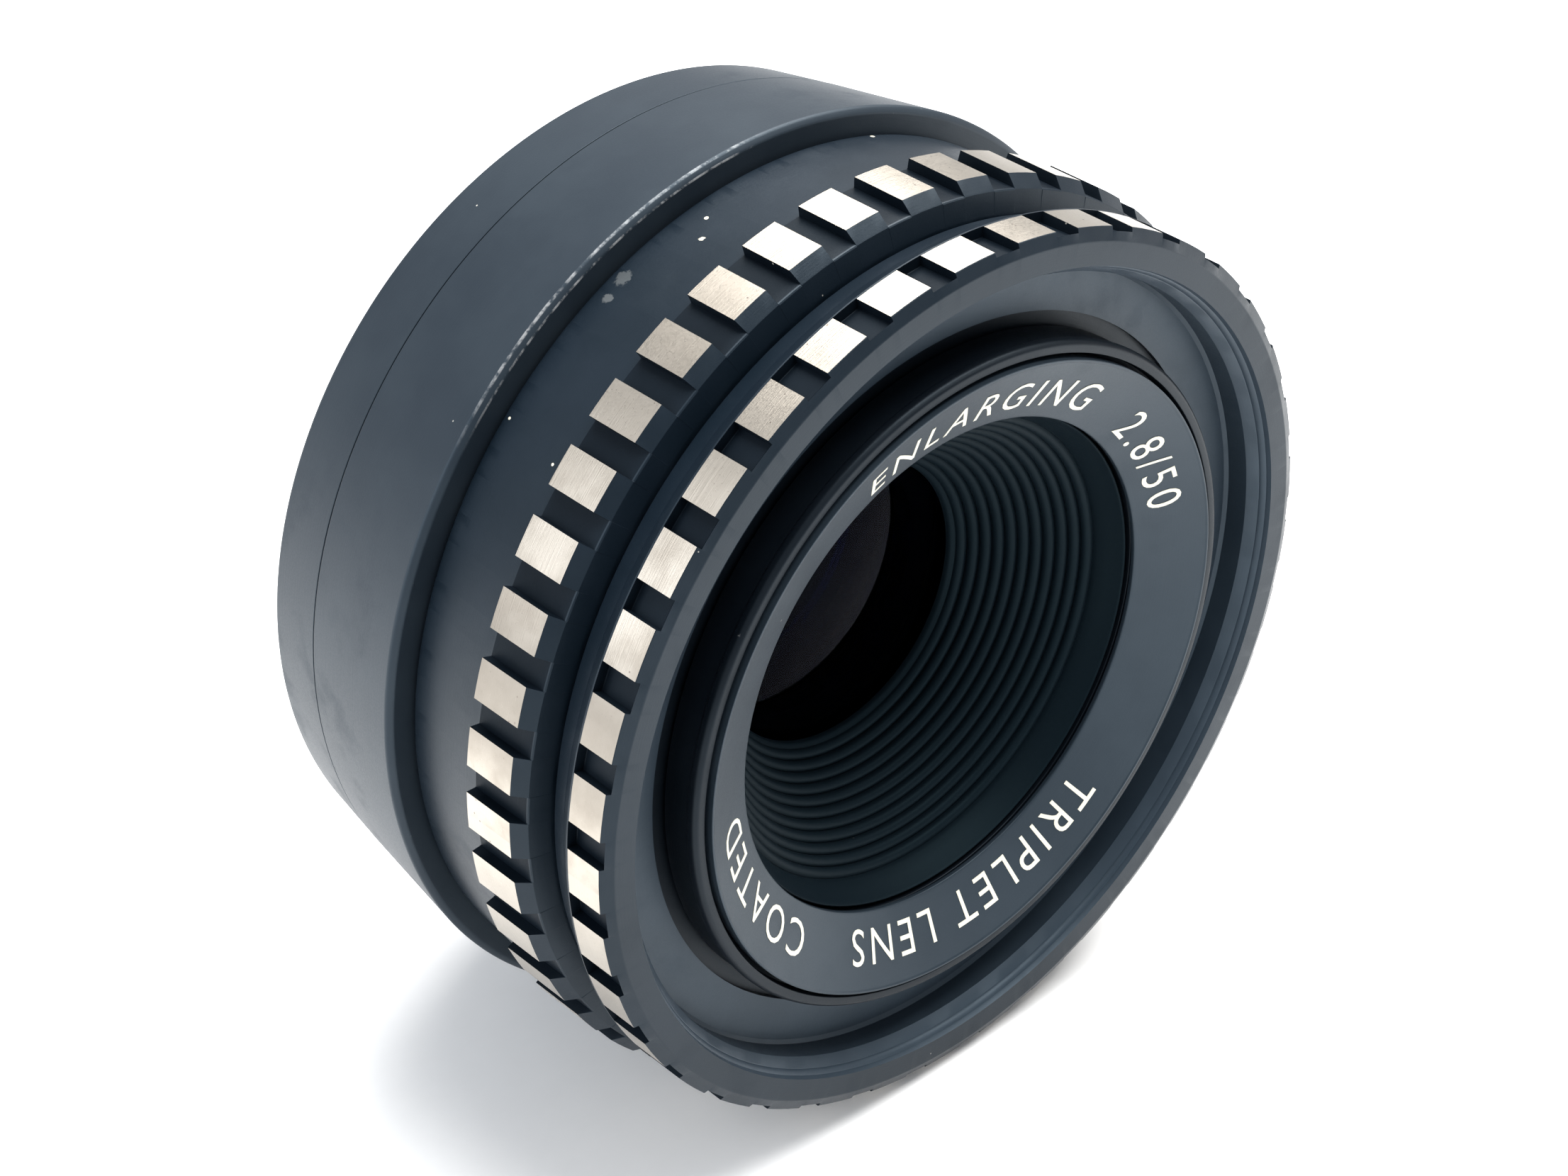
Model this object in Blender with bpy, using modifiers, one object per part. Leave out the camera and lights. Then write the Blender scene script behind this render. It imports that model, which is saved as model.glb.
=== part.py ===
"""A 50 mm f/2.8 enlarger lens as an assembly of turned, milled and ground pieces.

Every turned piece is a profile of (radius, station) points in millimetres. A station is the distance
in front of the mounting flange, along the optical axis. The axis lies along world Y, the front of the
lens faces -Y, +Z is up, and the origin is the centre of the mounting flange.
"""

import math

import bmesh
import bpy
from mathutils import Matrix, Vector

MM = 0.001
MERGE = 0.00001

# Driving dimensions, in millimetres.
BARREL_FRONT_R = 28.03
BARREL_SEAM_R = 26.92
BARREL_REAR_R = 26.20
STEP_STATION = 13.55
SEAM_STATION = 5.10
FOCUS_GRIP_R = 27.72
FOCUS_GRIP_STATIONS = (19.90, 23.50)
FOCUS_LANDS = 43
FOCUS_LAND_DEG = 4.83
FOCUS_FIRST_LAND_DEG = 137.76
APERTURE_GRIP_R = 27.03
APERTURE_GRIP_STATIONS = (27.24, 29.86)
APERTURE_LANDS = 37
APERTURE_LAND_DEG = 6.06
APERTURE_FIRST_LAND_DEG = 131.02
GRIP_DEPTH = 0.62
FRONT_STATION = 30.22
FILTER_MOUTH_R = 24.90
FILTER_BORE_R = 24.10
MOUNT_THREAD_R = 20.90
MOUNT_THREAD_LENGTH = 4.20
HEAD_TUBE_R = 17.40
BLADE_COUNT = 6
BLADE_PIVOT_R = 13.40
BLADE_INNER_R = 8.60
BLADE_OUTER_R = 12.40
BLADE_THICKNESS = 0.15
BLADE_PITCH = 0.30
BLADE_FIRST_STATION = 9.20
KEY_ANGLES_DEG = (90.0, 270.0)
MOUNT_SCREW_ANGLES_DEG = (30.0, 150.0, 270.0)
SET_SCREW_ANGLES_DEG = (15.0, 135.0, 255.0)
MOUNT_SCREW_RADIUS = 22.80
STOP_PIN_RADIUS = 23.70
STOP_PIN_ANGLE_DEG = -20.0
STOP_GROOVE_DEG = 252.0
DETENT_RADIUS = 23.0
DETENT_ANGLE_DEG = 60.0
LINK_PIN_ANGLE_DEG = 100.0
LINK_PIN_STATION = 25.50
LINK_SWEEP_DEG = 70.0

# Local +Z of a turned piece points to the front of the lens, and local +Y points up.
FACING_FRONT = (math.radians(90), 0, 0)
ALONG_AXIS = Matrix.Rotation(math.radians(90), 4, "X")


def clear_scene():
    for old in list(bpy.data.objects):
        bpy.data.objects.remove(old, do_unlink=True)


def new_collection(name):
    collection = bpy.data.collections.new(name)
    bpy.context.scene.collection.children.link(collection)
    return collection


def new_material(name, color, roughness, metallic=0.0, transmission=0.0):
    material = bpy.data.materials.new(name)
    material.use_nodes = True
    shader = material.node_tree.nodes["Principled BSDF"]
    shader.inputs["Base Color"].default_value = (*color, 1)
    shader.inputs["Roughness"].default_value = roughness
    shader.inputs["Metallic"].default_value = metallic
    shader.inputs["Transmission Weight"].default_value = transmission
    material.diffuse_color = (*color, 1)
    return material


clear_scene()
LENS = new_collection("enlarger_lens")
CUTTERS = new_collection("cutters")
BLACK = new_material("black_anodised", (0.02, 0.022, 0.027), 0.42)
GRIP = new_material("grip_ring_aluminium", (0.025, 0.027, 0.032), 0.38, 0.3)
MATT = new_material("matt_black_paint", (0.012, 0.012, 0.014), 0.75)
ALUMINIUM = new_material("turned_aluminium", (0.72, 0.71, 0.68), 0.32, 1.0)
BRASS = new_material("brass", (0.72, 0.55, 0.27), 0.35, 1.0)
STEEL = new_material("blued_steel", (0.10, 0.11, 0.13), 0.4, 0.9)
GLASS = new_material("coated_glass", (0.75, 0.78, 0.95), 0.02, 0.0, 1.0)


def add_object(name, mesh, material, collection=None):
    obj = bpy.data.objects.new(name, mesh)
    (collection or LENS).objects.link(obj)
    if material:
        mesh.materials.append(material)
    return obj


def shade_round(obj):
    obj.data.shade_smooth()
    obj.data.set_sharp_from_angle(angle=math.radians(35))


def profile_mesh(name, points, closed=True):
    """An open wire mesh of (radius, station) points in the local XZ plane."""
    mesh = bpy.data.meshes.new(name)
    corners = [(r * MM, 0, s * MM) for r, s in points]
    edges = [(i, i + 1) for i in range(len(corners) - 1)]
    if closed:
        edges.append((len(corners) - 1, 0))
    mesh.from_pydata(corners, edges, [])
    return mesh


def screw_modifier(obj, steps, sweep_deg=360.0):
    screw = obj.modifiers.new("turn", "SCREW")
    screw.axis = "Z"
    screw.angle = math.radians(sweep_deg)
    screw.steps = steps
    screw.render_steps = steps
    screw.use_smooth_shade = True
    screw.use_merge_vertices = True
    screw.merge_threshold = MERGE


def turned(name, points, material, steps=48, closed=True):
    """A piece turned about the optical axis. The points run down its outer side, front to rear."""
    obj = add_object(name, profile_mesh(name, points, closed), material)
    obj.rotation_euler = FACING_FRONT
    screw_modifier(obj, steps)
    return obj


def cutter_from(name, mesh_builder):
    """A hidden cutter in the same local frame as a turned piece."""
    mesh = bpy.data.meshes.new(name)
    shape = bmesh.new()
    mesh_builder(shape)
    bmesh.ops.recalc_face_normals(shape, faces=shape.faces)
    shape.to_mesh(mesh)
    shape.free()
    obj = add_object(name, mesh, None, CUTTERS)
    obj.rotation_euler = FACING_FRONT
    obj.hide_render = True
    obj.display_type = "WIRE"
    return obj


def cut(obj, cutter):
    boolean = obj.modifiers.new("cut_" + cutter.name, "BOOLEAN")
    boolean.operation = "DIFFERENCE"
    boolean.solver = "EXACT"
    boolean.object = cutter
    return obj


def add_box(shape, centre, size, turn_deg):
    """A box centred at (radius, sideways, station) in millimetres, then turned about the axis."""
    placed = Matrix.Rotation(math.radians(turn_deg), 4, "Z") @ Matrix.Translation(Vector(centre) * MM)
    scaled = Matrix.Diagonal((*(Vector(size) * MM), 1))
    bmesh.ops.create_cube(shape, size=1.0, matrix=placed @ scaled)


def add_axial_rod(shape, radius, at_radius, turn_deg, stations, sides=12):
    """A rod parallel to the optical axis."""
    middle = (stations[0] + stations[1]) / 2
    placed = Matrix.Rotation(math.radians(turn_deg), 4, "Z") @ Matrix.Translation(
        Vector((at_radius, 0, middle)) * MM
    )
    bmesh.ops.create_cone(
        shape,
        cap_ends=True,
        segments=sides,
        radius1=radius * MM,
        radius2=radius * MM,
        depth=abs(stations[1] - stations[0]) * MM,
        matrix=placed,
    )


def add_radial_rod(shape, radius, radii, turn_deg, station, sides=12):
    """A rod that points out from the optical axis."""
    placed = (
        Matrix.Rotation(math.radians(turn_deg), 4, "Z")
        @ Matrix.Translation(Vector(((radii[0] + radii[1]) / 2, 0, station)) * MM)
        @ Matrix.Rotation(math.radians(90), 4, "Y")
    )
    bmesh.ops.create_cone(
        shape,
        cap_ends=True,
        segments=sides,
        radius1=radius * MM,
        radius2=radius * MM,
        depth=(radii[1] - radii[0]) * MM,
        matrix=placed,
    )


def add_arc_block(shape, radii, stations, start_deg, sweep_deg, steps):
    """A curved block: a rectangle of radii and stations swept about the optical axis."""
    corners = [(r, s) for r, s in zip((radii[0], radii[1], radii[1], radii[0]), sorted(stations * 2))]
    rings = []
    for step in range(steps + 1):
        angle = math.radians(start_deg + sweep_deg * step / steps)
        ring = [
            shape.verts.new(Vector((r * math.cos(angle), r * math.sin(angle), s)) * MM)
            for r, s in corners
        ]
        rings.append(ring)
    for before, after in zip(rings, rings[1:]):
        for side in range(4):
            following = (side + 1) % 4
            shape.faces.new((before[side], before[following], after[following], after[side]))
    shape.faces.new(rings[0])
    shape.faces.new(rings[-1])


def solid_from(name, mesh_builder, material):
    """A piece built from bmesh shapes in the frame of the turned pieces."""
    mesh = bpy.data.meshes.new(name)
    shape = bmesh.new()
    mesh_builder(shape)
    bmesh.ops.recalc_face_normals(shape, faces=shape.faces)
    shape.to_mesh(mesh)
    shape.free()
    obj = add_object(name, mesh, material)
    obj.rotation_euler = FACING_FRONT
    shade_round(obj)
    return obj


def placed_turned(name, points, material, at_radius, angle_deg, station, radial=False, steps=14):
    """A small turned piece, such as a screw, on its own axis. Its +Z points forward, or outward if radial."""
    obj = add_object(name, profile_mesh(name, points), material)
    screw_modifier(obj, steps)
    spot = Matrix.Rotation(math.radians(angle_deg), 4, "Z") @ Matrix.Translation(
        Vector((at_radius, 0, station)) * MM
    )
    if radial:
        spot = spot @ Matrix.Rotation(math.radians(90), 4, "Y")
    obj.matrix_world = ALONG_AXIS @ spot
    return obj


def grip_slots(name, count, land_deg, first_deg, crest_r, stations):
    """The milled slots between the lands of a grip row."""
    pitch = 360.0 / count
    width = math.radians(pitch - land_deg) * crest_r
    middle = (stations[0] + stations[1]) / 2
    length = stations[1] - stations[0]

    def build(shape):
        for land in range(count):
            turn = first_deg - (land + 0.5) * pitch
            add_box(shape, (crest_r + 1 - GRIP_DEPTH, 0, middle), (2.0, width, length), turn)

    return cutter_from(name, build)


# Barrel: the fixed rear part that screws into the lens board.


def build_barrel():
    turned(
        "rear_barrel",
        [
            (27.70, STEP_STATION),
            (BARREL_FRONT_R, STEP_STATION - 0.25),
            (BARREL_SEAM_R, SEAM_STATION + 0.30),
            (25.20, SEAM_STATION + 0.30),
            (25.20, 8.90),
            (22.60, 8.90),
            (22.60, 10.20),
            (25.00, 10.20),
            (25.00, STEP_STATION),
        ],
        BLACK,
        48,
    )
    turned(
        "mount_ring",
        [
            (24.90, 7.00),
            (24.90, SEAM_STATION),
            (BARREL_SEAM_R - 0.05, SEAM_STATION),
            (BARREL_REAR_R, 0.75),
            (25.80, 0.35),
            (25.00, 0.35),
            (25.00, 1.50),
            (20.60, 1.50),
            (20.60, 3.20),
            (22.50, 3.20),
            (22.50, 7.00),
        ],
        BLACK,
        48,
    )
    turned(
        "threaded_mount",
        [
            (24.70, 1.20),
            (24.70, 0.00),
            (MOUNT_THREAD_R, 0.00),
            (MOUNT_THREAD_R, 0.30 - MOUNT_THREAD_LENGTH),
            (MOUNT_THREAD_R - 0.30, -MOUNT_THREAD_LENGTH),
            (18.60, -MOUNT_THREAD_LENGTH),
            (18.60, 1.20),
        ],
        ALUMINIUM,
        36,
    )
    screw_profile = [(0.55, 2.55), (0.55, 0.65), (1.10, 0.65), (1.10, 0.0), (0.0, 0.0), (0.0, 2.55)]
    for number, angle in enumerate(MOUNT_SCREW_ANGLES_DEG, 1):
        placed_turned(f"mount_screw_{number}", screw_profile, STEEL, MOUNT_SCREW_RADIUS, angle, 0.15)

    def screw_holes(shape):
        for angle in MOUNT_SCREW_ANGLES_DEG:
            add_axial_rod(shape, 0.80, MOUNT_SCREW_RADIUS, angle, (0.5, 2.95))

    def screw_heads(shape):
        for angle in MOUNT_SCREW_ANGLES_DEG:
            add_axial_rod(shape, 1.35, MOUNT_SCREW_RADIUS, angle, (-0.5, 0.95))

    holes = cutter_from("mount_screw_holes", screw_holes)
    cut(bpy.data.objects["threaded_mount"], cutter_from("mount_screw_counterbores", screw_heads))
    cut(bpy.data.objects["threaded_mount"], holes)
    cut(bpy.data.objects["mount_ring"], holes)
    for number, angle in enumerate(KEY_ANGLES_DEG, 1):
        solid_from(
            f"guide_key_{number}",
            lambda shape, turn=angle: add_box(shape, (20.05, 0, 4.55), (4.10, 3.40, 2.10), turn),
            BRASS,
        )
        placed_turned(
            f"key_screw_{number}",
            [(0.95, 3.70), (0.95, 3.10), (0.45, 3.10), (0.45, 0.0), (0.0, 0.0), (0.0, 3.70)],
            STEEL,
            21.40,
            angle,
            1.90,
        )

    def key_heads(shape):
        for angle in KEY_ANGLES_DEG:
            add_axial_rod(shape, 1.20, 21.40, angle, (4.75, 6.0))

    def key_holes(shape):
        for angle in KEY_ANGLES_DEG:
            add_axial_rod(shape, 0.65, 21.40, angle, (1.75, 5.0))

    key_bores = cutter_from("key_screw_holes", key_holes)
    key_bores_wide = cutter_from("key_screw_counterbores", key_heads)
    cut(bpy.data.objects["mount_ring"], key_bores)
    for number in range(1, len(KEY_ANGLES_DEG) + 1):
        cut(bpy.data.objects[f"guide_key_{number}"], key_bores_wide)
        cut(bpy.data.objects[f"guide_key_{number}"], key_bores)
    placed_turned(
        "focus_stop_pin",
        [(0.55, 1.90), (0.55, 0.0), (0.0, 0.0), (0.0, 1.90)],
        STEEL,
        STOP_PIN_RADIUS,
        STOP_PIN_ANGLE_DEG,
        9.15,
    )
    pin_hole = cutter_from(
        "stop_pin_hole",
        lambda shape: add_axial_rod(shape, 0.75, STOP_PIN_RADIUS, STOP_PIN_ANGLE_DEG, (8.0, 10.6)),
    )
    cut(bpy.data.objects["rear_barrel"], pin_hole)


# Focusing ring: the rear grip ring and the threaded nut that it turns.


def build_focus_ring():
    rear, front = FOCUS_GRIP_STATIONS
    ring = turned(
        "focus_ring",
        [
            (25.70, 24.62),
            (FOCUS_GRIP_R - 0.60, front + 0.70),
            (FOCUS_GRIP_R, front),
            (FOCUS_GRIP_R, rear),
            (FOCUS_GRIP_R - 0.62, rear - 0.02),
            (26.60, 14.90),
            (25.70, 14.15),
            (24.70, 13.90),
            (24.70, 10.50),
            (22.60, 10.50),
            (22.60, 18.00),
            (24.90, 18.00),
            (24.90, 24.62),
        ],
        GRIP,
        FOCUS_LANDS,
    )
    slots = grip_slots(
        "focus_grip_slots",
        FOCUS_LANDS,
        FOCUS_LAND_DEG,
        FOCUS_FIRST_LAND_DEG,
        FOCUS_GRIP_R,
        (rear - 0.6, front + 1.2),
    )
    cut(ring, slots)
    groove_start = STOP_PIN_ANGLE_DEG - 6.0
    groove = cutter_from(
        "stop_groove",
        lambda shape: add_arc_block(shape, (22.0, 25.4), (10.0, 11.25), groove_start, STOP_GROOVE_DEG, 36),
    )
    cut(ring, groove)
    nut = turned(
        "focus_nut",
        [
            (22.30, 17.30),
            (22.30, 8.60),
            (24.80, 8.60),
            (24.80, 7.30),
            (22.30, 7.30),
            (22.30, 6.50),
            (19.90, 6.50),
            (19.90, 17.30),
        ],
        BRASS,
        32,
    )

    def screw_holes(shape):
        for angle in SET_SCREW_ANGLES_DEG:
            add_radial_rod(shape, 0.90, (21.0, 26.0), angle, 12.40)

    holes = cutter_from("set_screw_holes", screw_holes)
    cut(ring, holes)
    cut(nut, holes)
    for number, angle in enumerate(SET_SCREW_ANGLES_DEG, 1):
        placed_turned(
            f"focus_set_screw_{number}",
            [(0.65, 3.1), (0.65, 0.4), (0.25, 0.0), (0.0, 0.0), (0.0, 2.6), (0.30, 2.6), (0.30, 3.1)],
            STEEL,
            21.30,
            angle,
            12.40,
            radial=True,
        )


# Lens head: the sliding tube with the glass, which focusing moves forward.


def build_head():
    barrel = turned(
        "head_barrel",
        [
            (21.00, 26.25),
            (21.00, 24.65),
            (24.40, 24.65),
            (24.40, 19.60),
            (19.60, 19.60),
            (19.60, 1.80),
            (HEAD_TUBE_R, 1.80),
            (HEAD_TUBE_R, 6.70),
            (14.20, 6.70),
            (14.20, 7.80),
            (HEAD_TUBE_R, 7.80),
            (HEAD_TUBE_R, 26.25),
        ],
        BLACK,
        36,
    )

    def keyways(shape):
        for angle in KEY_ANGLES_DEG:
            add_box(shape, (19.0, 0, 3.75), (5.0, 4.0, 5.5), angle)

    cut(barrel, cutter_from("keyways", keyways))
    slot_start = LINK_PIN_ANGLE_DEG - 4.0 - LINK_SWEEP_DEG
    cut(
        barrel,
        cutter_from(
            "link_slot",
            lambda shape: add_arc_block(
                shape, (16.9, 22.0), (24.95, 27.0), slot_start, LINK_SWEEP_DEG + 8.0, 12
            ),
        ),
    )
    cut(
        barrel,
        cutter_from(
            "detent_pocket",
            lambda shape: add_axial_rod(shape, 0.85, DETENT_RADIUS, DETENT_ANGLE_DEG, (22.5, 25.5)),
        ),
    )
    turned(
        "aperture_retainer",
        [(22.90, 27.00), (22.90, 26.55), (17.50, 26.55), (17.50, 27.00)],
        ALUMINIUM,
        32,
    )
    turned(
        "front_tube",
        [
            (20.30, 29.85),
            (20.50, 29.60),
            (20.50, 27.30),
            (16.20, 27.30),
            (16.20, 12.20),
            (15.60, 12.20),
            (15.60, 27.45),
            (19.80, 29.00),
            (19.80, 29.85),
        ],
        BLACK,
        36,
    )
    turned("name_ring", [(19.50, 30.10), (19.50, 29.25), (15.30, 27.75), (15.30, 28.05)], BLACK, 36)
    turned(
        "ribbed_baffle",
        [
            (15.30, 27.40),
            (15.30, 18.90),
            (8.90, 18.90),
            (8.90, 19.40),
            (10.90, 21.50),
            (10.90, 22.00),
            (12.90, 24.00),
            (12.90, 24.50),
            (14.90, 26.40),
            (14.90, 27.40),
        ],
        MATT,
        32,
    )
    turned(
        "front_cell",
        [(15.30, 18.60), (15.30, 14.60), (8.60, 14.60), (8.60, 15.60), (10.50, 15.60), (10.50, 18.60)],
        MATT,
        28,
    )
    lens_element("front_glass", 10.20, (18.20, 19.70), (15.90, 15.90), 28)
    turned(
        "middle_cell",
        [(15.30, 14.30), (15.30, 12.20), (8.00, 12.20), (8.00, 12.60), (8.90, 12.60), (8.90, 14.30)],
        MATT,
        28,
    )
    lens_element("middle_glass", 8.60, (14.15, 13.80), (12.90, 13.15), 28)
    base = turned("iris_base_plate", [(17.10, 8.90), (17.10, 8.10), (8.70, 8.10), (8.70, 8.90)], MATT, 32)

    def pivot_holes(shape):
        for blade in range(BLADE_COUNT):
            add_axial_rod(shape, 0.62, BLADE_PIVOT_R, 360.0 * blade / BLADE_COUNT, (7.9, 9.1))

    cut(base, cutter_from("pivot_holes", pivot_holes))
    turned(
        "rear_cell",
        [
            (13.90, 7.60),
            (13.90, 6.40),
            (16.00, 6.40),
            (16.00, 5.60),
            (12.60, 5.60),
            (12.60, 1.90),
            (10.20, 1.90),
            (10.20, 6.70),
            (9.30, 6.70),
            (9.30, 7.60),
        ],
        BLACK,
        28,
    )
    lens_element("rear_glass", 9.90, (5.30, 6.90), (3.90, 2.65), 28)
    turned("rear_retainer", [(9.90, 3.40), (9.90, 2.00), (8.90, 2.00), (8.90, 3.40)], BLACK, 28)
    build_detent()


def lens_element(name, edge_r, front, rear, steps, rings=3):
    """A ground glass. front and rear are (edge station, vertex station) of its two surfaces."""

    def surface(edge_station, vertex_station):
        points = []
        for ring in range(rings + 1):
            r = edge_r * ring / rings
            points.append((r, vertex_station + (edge_station - vertex_station) * (r / edge_r) ** 2))
        return points

    back = surface(*rear)
    if rear[0] == rear[1]:
        back = [back[0], back[-1]]
    return turned(name, surface(*front) + back[::-1], GLASS, steps, closed=False)


def build_detent():
    """The click-stop ball and the small coil spring under it, in a pocket of the head flange."""

    def ball(shape):
        centre = Matrix.Rotation(math.radians(DETENT_ANGLE_DEG), 4, "Z") @ Matrix.Translation(
            Vector((DETENT_RADIUS, 0, 24.25)) * MM
        )
        bmesh.ops.create_uvsphere(shape, u_segments=12, v_segments=8, radius=0.60 * MM, matrix=centre)

    solid_from("detent_ball", ball, STEEL)
    curve = bpy.data.curves.new("detent_spring", "CURVE")
    curve.dimensions = "3D"
    curve.bevel_depth = 0.09 * MM
    curve.bevel_resolution = 1
    curve.use_fill_caps = True
    turns = 3
    per_turn = 8
    spline = curve.splines.new("POLY")
    spline.points.add(turns * per_turn)
    for index, point in enumerate(spline.points):
        angle = 2 * math.pi * index / per_turn
        rise = 0.70 * index / (turns * per_turn)
        point.co = (0.45 * MM * math.cos(angle), 0.45 * MM * math.sin(angle), rise * MM, 1)
    curve.materials.append(STEEL)
    spring = bpy.data.objects.new("detent_spring", curve)
    LENS.objects.link(spring)
    spot = Matrix.Rotation(math.radians(DETENT_ANGLE_DEG), 4, "Z") @ Matrix.Translation(
        Vector((DETENT_RADIUS, 0, 22.75)) * MM
    )
    spring.matrix_world = ALONG_AXIS @ spot


# Aperture ring: the front grip ring, with the sleeve and pin that turn the iris.


def build_aperture_ring():
    rear, front = APERTURE_GRIP_STATIONS
    ring = turned(
        "aperture_ring",
        [
            (FILTER_MOUTH_R, FRONT_STATION),
            (26.30, FRONT_STATION),
            (APERTURE_GRIP_R, front),
            (APERTURE_GRIP_R, rear),
            (26.40, 26.30),
            (25.90, 24.95),
            (21.30, 24.95),
            (21.30, 25.95),
            (FILTER_BORE_R, 25.95),
            (FILTER_BORE_R, 28.95),
        ],
        GRIP,
        APERTURE_LANDS,
    )
    slots = grip_slots(
        "aperture_grip_slots",
        APERTURE_LANDS,
        APERTURE_LAND_DEG,
        APERTURE_FIRST_LAND_DEG,
        APERTURE_GRIP_R,
        (rear + 0.15, FRONT_STATION + 0.4),
    )
    cut(ring, slots)
    notch = cutter_from(
        "link_notch",
        lambda shape: add_box(shape, (22.2, 0, 25.65), (3.6, 1.1, 1.1), LINK_PIN_ANGLE_DEG),
    )
    cut(ring, notch)
    sleeve = turned(
        "iris_drive_sleeve",
        [(17.10, 26.20), (17.10, 11.20), (9.20, 11.20), (9.20, 11.80), (16.50, 11.80), (16.50, 26.20)],
        BRASS,
        32,
    )
    pin_hole = cutter_from(
        "link_pin_hole",
        lambda shape: add_radial_rod(
            shape, 0.48, (15.9, 17.8), LINK_PIN_ANGLE_DEG, LINK_PIN_STATION, sides=10
        ),
    )
    cut(sleeve, pin_hole)
    placed_turned(
        "iris_link_pin",
        [(0.33, 7.10), (0.33, 0.0), (0.0, 0.0), (0.0, 7.10)],
        STEEL,
        16.60,
        LINK_PIN_ANGLE_DEG,
        LINK_PIN_STATION,
        radial=True,
        steps=10,
    )


# Iris: thin curved blades, each on its own pivot and in its own plane.


def blade_outline():
    """The flat outline of a blade about its pivot: a curved leaf with a lug round the pivot."""
    tip_deg = 112.0
    heel_deg = 4.0
    steps = 10
    outer = []
    inner = []
    for step in range(steps + 1):
        angle = math.radians(heel_deg + (tip_deg - heel_deg) * step / steps)
        outer.append((BLADE_OUTER_R * math.cos(angle), BLADE_OUTER_R * math.sin(angle)))
        inner.append((BLADE_INNER_R * math.cos(angle), BLADE_INNER_R * math.sin(angle)))
    lug = []
    lug_steps = 6
    for step in range(lug_steps + 1):
        angle = math.radians(80 - 190 * step / lug_steps)
        lug.append((BLADE_PIVOT_R + 0.80 * math.cos(angle), 0.80 * math.sin(angle)))
    heel = [(11.60, -0.90), (BLADE_INNER_R + 0.6, -0.35)]
    return [(x - BLADE_PIVOT_R, y) for x, y in lug + heel + inner + outer[::-1]]


def build_blades():
    for blade in range(BLADE_COUNT):
        station = BLADE_FIRST_STATION + BLADE_PITCH * blade
        outline = bpy.data.curves.new(f"blade_outline_{blade + 1}", "CURVE")
        outline.dimensions = "2D"
        outline.fill_mode = "BOTH"
        outline.extrude = BLADE_THICKNESS / 2 * MM
        spline = outline.splines.new("POLY")
        points = blade_outline()
        spline.points.add(len(points) - 1)
        for point, (x, y) in zip(spline.points, points):
            point.co = (x * MM, y * MM, 0, 1)
        spline.use_cyclic_u = True
        flat = bpy.data.objects.new(f"blade_guide_{blade + 1}", outline)
        LENS.objects.link(flat)
        bpy.context.view_layer.update()
        graph = bpy.context.evaluated_depsgraph_get()
        mesh = bpy.data.meshes.new_from_object(flat.evaluated_get(graph))
        bpy.data.objects.remove(flat, do_unlink=True)
        weld = bmesh.new()
        weld.from_mesh(mesh)
        bmesh.ops.remove_doubles(weld, verts=weld.verts, dist=MERGE / 10)
        weld.to_mesh(mesh)
        weld.free()
        mesh.name = f"iris_blade_{blade + 1}"
        obj = add_object(f"iris_blade_{blade + 1}", mesh, STEEL)
        spot = Matrix.Rotation(2 * math.pi * blade / BLADE_COUNT, 4, "Z") @ Matrix.Translation(
            Vector((BLADE_PIVOT_R, 0, station + BLADE_THICKNESS / 2)) * MM
        )
        obj.matrix_world = ALONG_AXIS @ spot
        pin_bottom = 8.15 - station - BLADE_THICKNESS / 2

        def pivot(shape, low=pin_bottom):
            bmesh.ops.create_cone(
                shape,
                cap_ends=True,
                segments=10,
                radius1=0.45 * MM,
                radius2=0.45 * MM,
                depth=-low * MM,
                matrix=Matrix.Translation((0, 0, low / 2 * MM)),
            )

        pin = cutter_from(f"blade_pin_{blade + 1}", pivot)
        pin.matrix_world = obj.matrix_world
        joined = obj.modifiers.new("pin", "BOOLEAN")
        joined.operation = "UNION"
        joined.solver = "EXACT"
        joined.object = pin


build_barrel()
build_focus_ring()
build_head()
build_aperture_ring()
build_blades()
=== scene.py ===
"""The looks of a 50 mm enlarger lens that lies on its side on a pale table.

Every turned piece is a profile of (radius, station) points in millimetres, swept round the
optical axis. A station is the distance in front of the mounting flange. An angle is measured
round the axis, seen from the front, from the right-hand side upwards. The axis lies along world Y
and the front faces -Y.
"""

import math
import bmesh
import bpy
import numpy as np
from mathutils import Matrix, Vector


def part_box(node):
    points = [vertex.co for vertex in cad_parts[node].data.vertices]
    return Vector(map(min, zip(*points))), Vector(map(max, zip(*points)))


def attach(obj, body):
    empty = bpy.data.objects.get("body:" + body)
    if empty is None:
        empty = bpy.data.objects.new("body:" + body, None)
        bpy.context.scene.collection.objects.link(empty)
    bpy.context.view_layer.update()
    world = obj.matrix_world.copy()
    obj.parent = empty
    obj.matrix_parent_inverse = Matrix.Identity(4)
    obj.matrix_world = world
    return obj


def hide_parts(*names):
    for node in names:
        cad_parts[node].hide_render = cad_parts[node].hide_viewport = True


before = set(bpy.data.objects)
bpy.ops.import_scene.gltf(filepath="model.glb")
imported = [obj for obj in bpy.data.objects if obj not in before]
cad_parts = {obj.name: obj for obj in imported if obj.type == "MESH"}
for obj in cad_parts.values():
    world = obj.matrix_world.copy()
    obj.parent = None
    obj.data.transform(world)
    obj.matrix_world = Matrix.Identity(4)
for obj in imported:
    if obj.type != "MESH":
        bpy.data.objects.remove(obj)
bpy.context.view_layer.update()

MM = 0.001

# (radius, station) of the two edges that the lens lies on: the barrel's step and the rear grip row.
BARREL_STEP = (28.03, 13.3)
GRIP_CREST = (27.72, 23.5)
APERTURE_CREST_R = 27.03
SLOT_DEPTH = 0.62

# The usual setback of a rounded corner, in millimetres.
EASE = 0.06

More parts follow.
